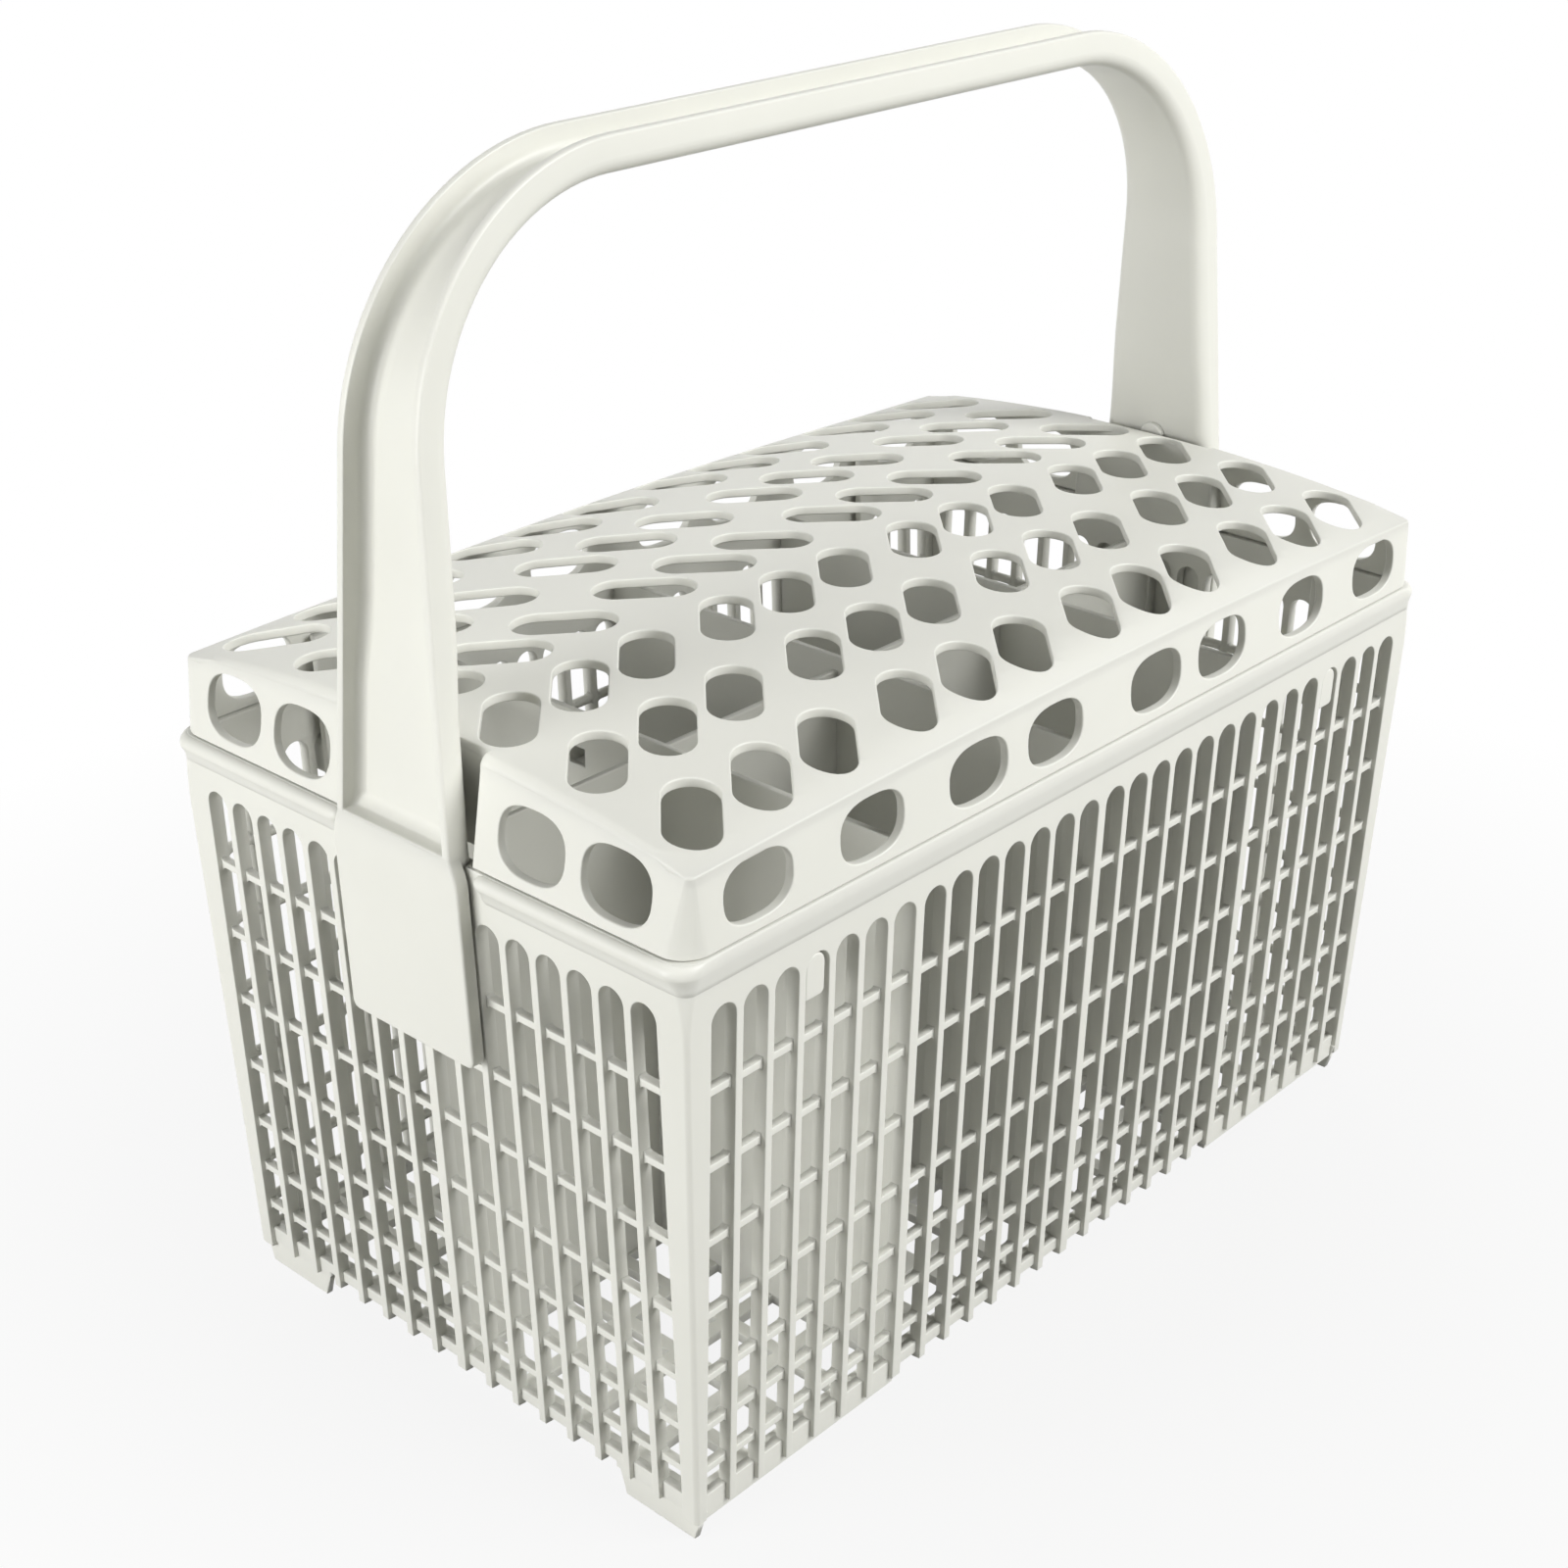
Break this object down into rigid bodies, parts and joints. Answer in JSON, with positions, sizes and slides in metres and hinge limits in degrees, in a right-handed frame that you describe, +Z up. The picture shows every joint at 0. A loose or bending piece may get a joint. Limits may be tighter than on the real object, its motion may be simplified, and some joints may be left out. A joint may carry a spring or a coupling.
{
  "type": "dishwasher cutlery basket",
  "caption": "Open-grid plastic cutlery basket for a dishwasher, with compartments, a crowned lid with slanted slots in a herringbone and a tall bail handle.",
  "frame": {"origin": "centre of the overall box, on the surface that the feet stand on", "axes": "+Z up, +X along the long side and the handle's grip, +Y across towards the back"},
  "size_m": [0.2418, 0.1416, 0.2473],
  "materials": {
    "polypropylene": "satin moulded"
  },
  "bodies": {
    "root": {"basket": "polypropylene", "lid": "polypropylene", "handle": "polypropylene"}
  },
  "joints": []
}
